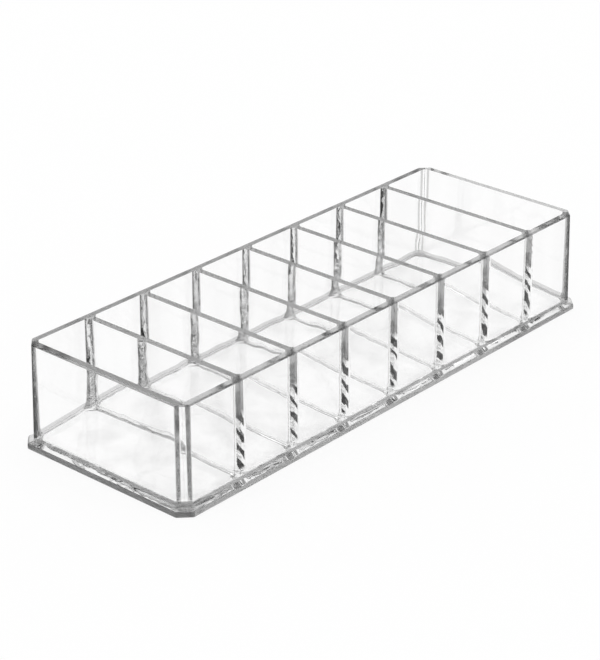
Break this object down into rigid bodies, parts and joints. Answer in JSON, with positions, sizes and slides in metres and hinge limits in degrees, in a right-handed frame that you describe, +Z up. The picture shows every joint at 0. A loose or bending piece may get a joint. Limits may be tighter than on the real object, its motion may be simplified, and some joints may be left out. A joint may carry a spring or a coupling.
{
  "type": "vanity organizer",
  "caption": "Clear plastic vanity tray: a row of open-topped compartments between fixed dividers on a flared flat base, for compacts and palettes stood on edge.",
  "frame": {"origin": "centre of the flat underside, on the surface that the tray stands on", "axes": "+X along the row of compartments, +Y across it from the front wall to the back wall, +Z up"},
  "size_m": [0.2408, 0.0864, 0.043],
  "materials": {
    "clear_base": "clear moulded acrylic, polished",
    "clear_wall": "clear acrylic, polished faces and edges",
    "clear_divider": "clear acrylic, polished faces and edges",
    "clear_bead": "clear acrylic cement, smooth"
  },
  "bodies": {
    "root": {"base_plate": "clear_base", "front_wall": "clear_wall", "back_wall": "clear_wall", "left_end_wall": "clear_wall", "right_end_wall": "clear_wall", "divider_1": "clear_divider", "divider_2": "clear_divider", "divider_3": "clear_divider", "divider_4": "clear_divider", "divider_5": "clear_divider", "divider_6": "clear_divider", "divider_7": "clear_divider", "corner_bead_1": "clear_bead", "corner_bead_2": "clear_bead", "corner_bead_3": "clear_bead", "corner_bead_4": "clear_bead", "corner_bead_5": "clear_bead", "corner_bead_6": "clear_bead", "corner_bead_7": "clear_bead", "corner_bead_8": "clear_bead"}
  },
  "joints": []
}
